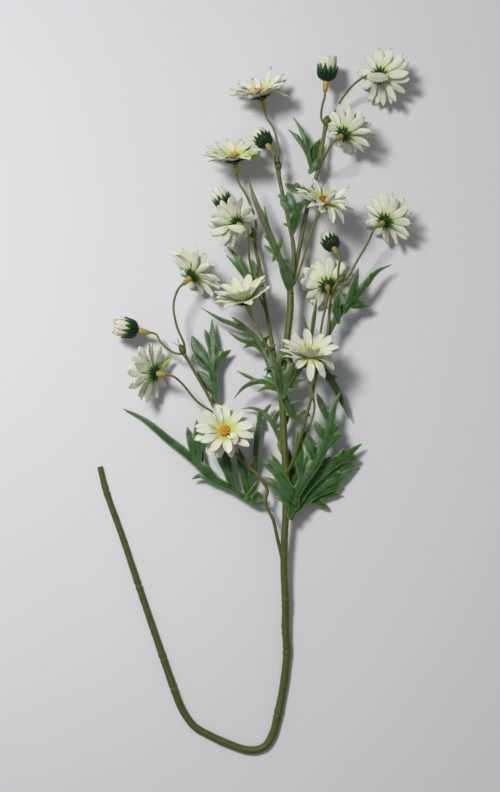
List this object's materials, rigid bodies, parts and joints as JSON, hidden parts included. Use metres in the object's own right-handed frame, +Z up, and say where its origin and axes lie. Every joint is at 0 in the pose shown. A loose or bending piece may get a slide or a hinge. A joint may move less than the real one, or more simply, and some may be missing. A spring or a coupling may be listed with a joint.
{
  "type": "artificial oxeye daisy spray",
  "caption": "Artificial daisy spray lying down: fabric blooms and closed buds on thin stalks of one branching moulded stem with lobed leaves, its lower stem bent into a U.",
  "frame": {"origin": "on the surface it lies on, below the middle of the spray's box", "axes": "+Y along the spray from the U bend to the flowers, +X to its right seen from above, +Z up from the surface"},
  "size_m": [0.2144, 0.4764, 0.0551],
  "materials": {
    "stem": "satin moulded olive green",
    "leaf": "semi-gloss moulded deep green, lighter along ribs and edges",
    "petal": "ivory woven fabric, yellow-green tint near the centre",
    "calyx": "satin moulded dark green",
    "centre": "satin moulded yellow-orange"
  },
  "bodies": {
    "root": {"stem": "stem", "leaf_top_spray": "leaf", "leaf_left_spray": "leaf", "leaf_fork": "leaf", "leaf_left_branch": "leaf", "leaf_right_branch": "leaf", "leaf_lower_left_spray": "leaf", "leaf_whorl": "leaf", "leaf_behind_stem": "leaf", "leaf_bottom_left": "leaf", "leaf_bottom_right": "leaf", "bloom_01_petals": "petal", "bloom_01_calyx": "calyx", "bloom_01_centre": "centre", "bloom_02_petals": "petal", "bloom_02_calyx": "calyx", "bloom_02_centre": "centre", "bloom_03_petals": "petal", "bloom_03_calyx": "calyx", "bloom_03_centre": "centre", "bloom_04_petals": "petal", "bloom_04_calyx": "calyx", "bloom_04_centre": "centre", "bloom_05_petals": "petal", "bloom_05_calyx": "calyx", "bloom_05_centre": "centre", "bloom_06_petals": "petal", "bloom_06_calyx": "calyx", "bloom_06_centre": "centre", "bloom_07_petals": "petal", "bloom_07_calyx": "calyx", "bloom_07_centre": "centre", "bloom_08_petals": "petal", "bloom_08_calyx": "calyx", "bloom_08_centre": "centre", "bloom_09_petals": "petal", "bloom_09_calyx": "calyx", "bloom_09_centre": "centre", "bloom_10_petals": "petal", "bloom_10_calyx": "calyx", "bloom_10_centre": "centre", "bloom_11_petals": "petal", "bloom_11_calyx": "calyx", "bloom_11_centre": "centre", "bloom_12_petals": "petal", "bloom_12_calyx": "calyx", "bloom_12_centre": "centre", "bloom_13_petals": "petal", "bloom_13_calyx": "calyx", "bloom_13_centre": "centre", "bud_1_calyx": "calyx", "bud_1_petals": "petal", "bud_2_calyx": "calyx", "bud_2_petals": "petal", "bud_3_calyx": "calyx", "bud_3_petals": "petal", "bud_4_calyx": "calyx", "bud_4_petals": "petal", "bud_5_calyx": "calyx", "bud_5_petals": "petal"}
  },
  "joints": []
}
